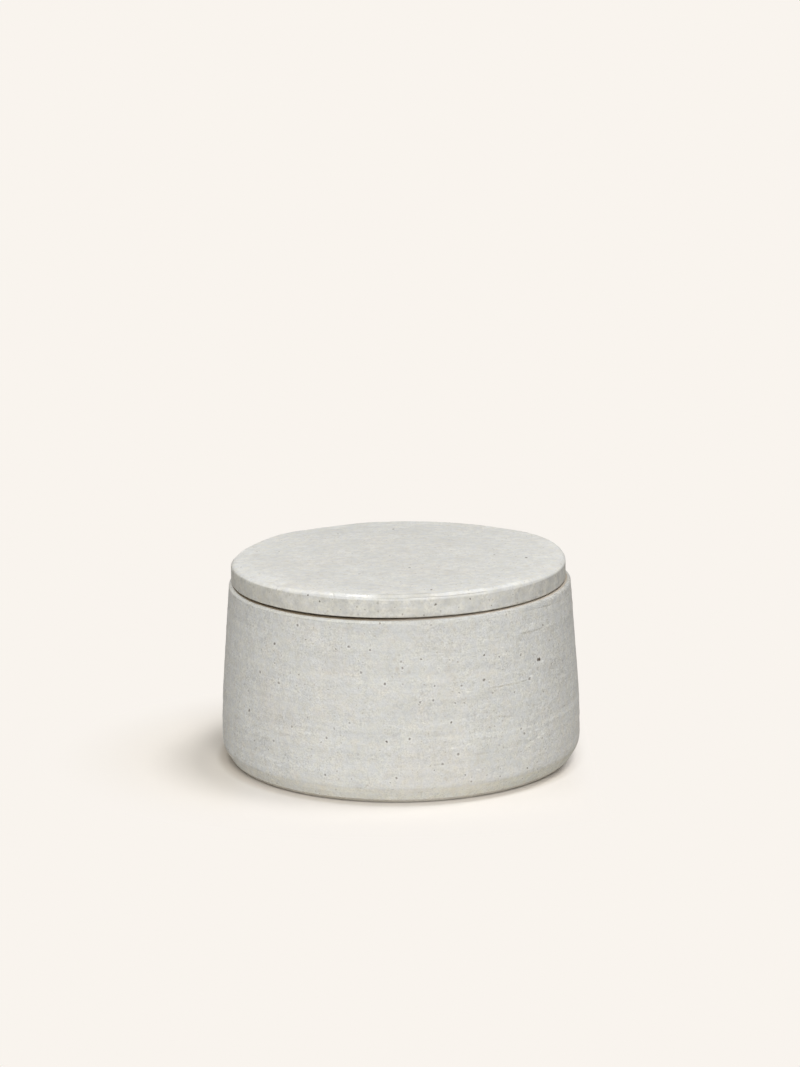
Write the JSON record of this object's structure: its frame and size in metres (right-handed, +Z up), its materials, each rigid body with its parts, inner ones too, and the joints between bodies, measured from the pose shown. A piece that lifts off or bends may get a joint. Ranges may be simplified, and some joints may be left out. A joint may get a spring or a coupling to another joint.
{
  "type": "lidded pot",
  "caption": "Low round stoneware pot with a slightly tapered wall, a bevelled foot and a flat disc lid that lifts off, in a pale speckled glaze.",
  "frame": {"origin": "centre of the foot, on the surface that the pot stands on", "axes": "+Z up, along the axis on which the pot and the lid were turned"},
  "size_m": [0.12, 0.12, 0.0676],
  "materials": {
    "pot_glaze": "off-white satin glaze with iron specks; bare clay on the rim's seat and under the foot",
    "lid_glaze": "off-white satin glaze with iron specks; bare clay on the underside and its ring"
  },
  "bodies": {
    "pot": {"pot": "pot_glaze"},
    "lid": {"lid": "lid_glaze"}
  },
  "joints": [
    {"name": "lid_lift", "type": "slide", "parent": "pot", "child": "lid", "axis": [0, 0, 1], "range_m": [0, 0.1]}
  ]
}
